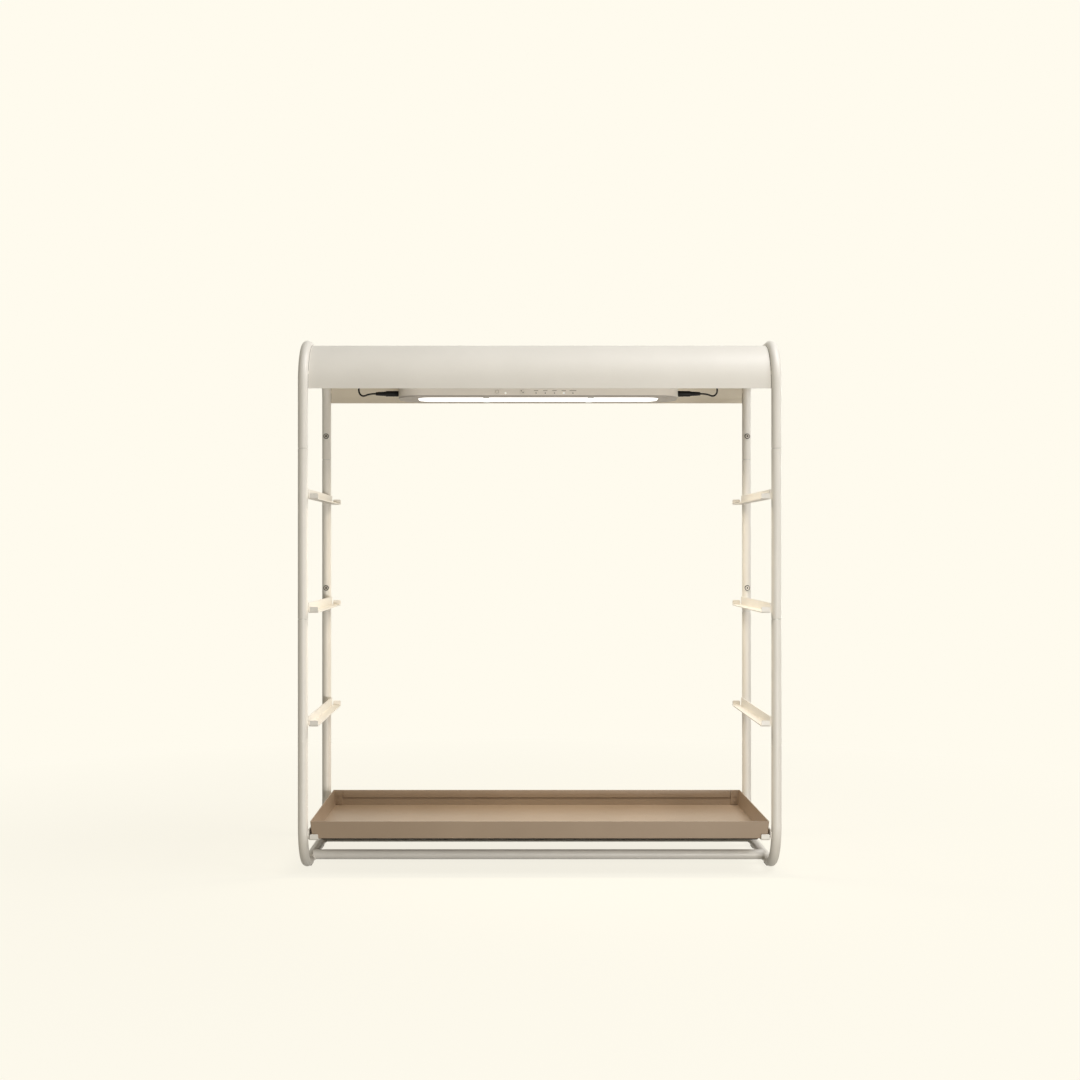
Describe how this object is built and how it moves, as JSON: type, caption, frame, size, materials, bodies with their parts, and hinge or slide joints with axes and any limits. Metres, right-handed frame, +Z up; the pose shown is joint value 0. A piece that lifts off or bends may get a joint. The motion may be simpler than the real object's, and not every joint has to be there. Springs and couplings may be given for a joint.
{
  "type": "tabletop grow light garden",
  "caption": "Tabletop plant stand of two tall rounded tube loops with a bent sheet hood, a plug-in light panel beneath it, side ledges at several heights and a lift-out sheet tray.",
  "frame": {"origin": "on the table, under the middle of the frame", "axes": "+Z up, -Y towards the front with the buttons, +X to the right seen from the front"},
  "size_m": [0.6094, 0.2646, 0.6793],
  "materials": {
    "cream_paint": "satin powder coat",
    "tray_paint": "fine matte powder coat",
    "black_steel": "black oxide",
    "zinc_steel": "zinc plated",
    "panel_plastic": "fine moulded grain",
    "bezel_plastic": "fine moulded grain",
    "button_plastic": "smooth",
    "diffuser_plastic": "frosted and lit",
    "light_pipe": "clear",
    "board_white": "solder mask",
    "board_green": "solder mask",
    "chip_yellow": "phosphor",
    "black_plastic": "moulded grain",
    "lead_rubber": "smooth jacket",
    "strip_rubber": "soft matte",
    "pad_rubber": "soft matte"
  },
  "bodies": {
    "frame": {"bezel_screws": "zinc_steel", "board_screws": "zinc_steel", "bottom_arch_left": "cream_paint", "bottom_arch_right": "cream_paint", "button_switches": "black_plastic", "control_board": "board_green", "diffuser_clips": "zinc_steel", "foot_pads": "pad_rubber", "front_crossbar": "cream_paint", "front_upright_left": "cream_paint", "front_upright_right": "cream_paint", "hanger_screws": "zinc_steel", "hood_clips": "cream_paint", "hood_nuts": "zinc_steel", "hood_shell": "cream_paint", "hood_socket_left": "black_plastic", "hood_socket_right": "black_plastic", "hood_tapes": "strip_rubber", "indicator_lights": "light_pipe", "lead_plug_left": "black_plastic", "lead_plug_right": "black_plastic", "ledge_1_left": "cream_paint", "ledge_1_right": "cream_paint", "ledge_2_left": "cream_paint", "ledge_2_right": "cream_paint", "ledge_3_left": "cream_paint", "ledge_3_right": "cream_paint", "ledge_4_left": "cream_paint", "ledge_4_right": "cream_paint", "light_board": "board_white", "light_chips": "chip_yellow", "light_diffuser": "diffuser_plastic", "lower_connector_sleeves": "zinc_steel", "lower_joint_screws": "black_steel", "panel_bezel": "bezel_plastic", "panel_hanger_left": "cream_paint", "panel_hanger_right": "cream_paint", "panel_housing": "panel_plastic", "panel_lead_left": "lead_rubber", "panel_lead_right": "lead_rubber", "power_jack_left": "black_plastic", "power_jack_right": "black_plastic", "rear_crossbar": "cream_paint", "rear_upright_left": "cream_paint", "rear_upright_right": "cream_paint", "top_arch_left": "cream_paint", "top_arch_right": "cream_paint", "upper_connector_sleeves": "zinc_steel", "upper_joint_screws": "black_steel"},
    "tray": {"tray_pan": "tray_paint", "tray_rivets": "tray_paint", "tray_strips": "strip_rubber"},
    "power_button": {"power_button": "button_plastic"},
    "mode_button": {"mode_button": "button_plastic"}
  },
  "joints": [
    {"name": "tray_lift", "type": "slide", "parent": "frame", "child": "tray", "axis": [0, 0, 1], "range_m": [0, 0.11]},
    {"name": "power_press", "type": "slide", "parent": "frame", "child": "power_button", "axis": [0, 1, 0], "range_m": [0, 0.0008], "stiffness_N_per_m": 800},
    {"name": "mode_press", "type": "slide", "parent": "frame", "child": "mode_button", "axis": [0, 1, 0], "range_m": [0, 0.0008], "stiffness_N_per_m": 800}
  ]
}
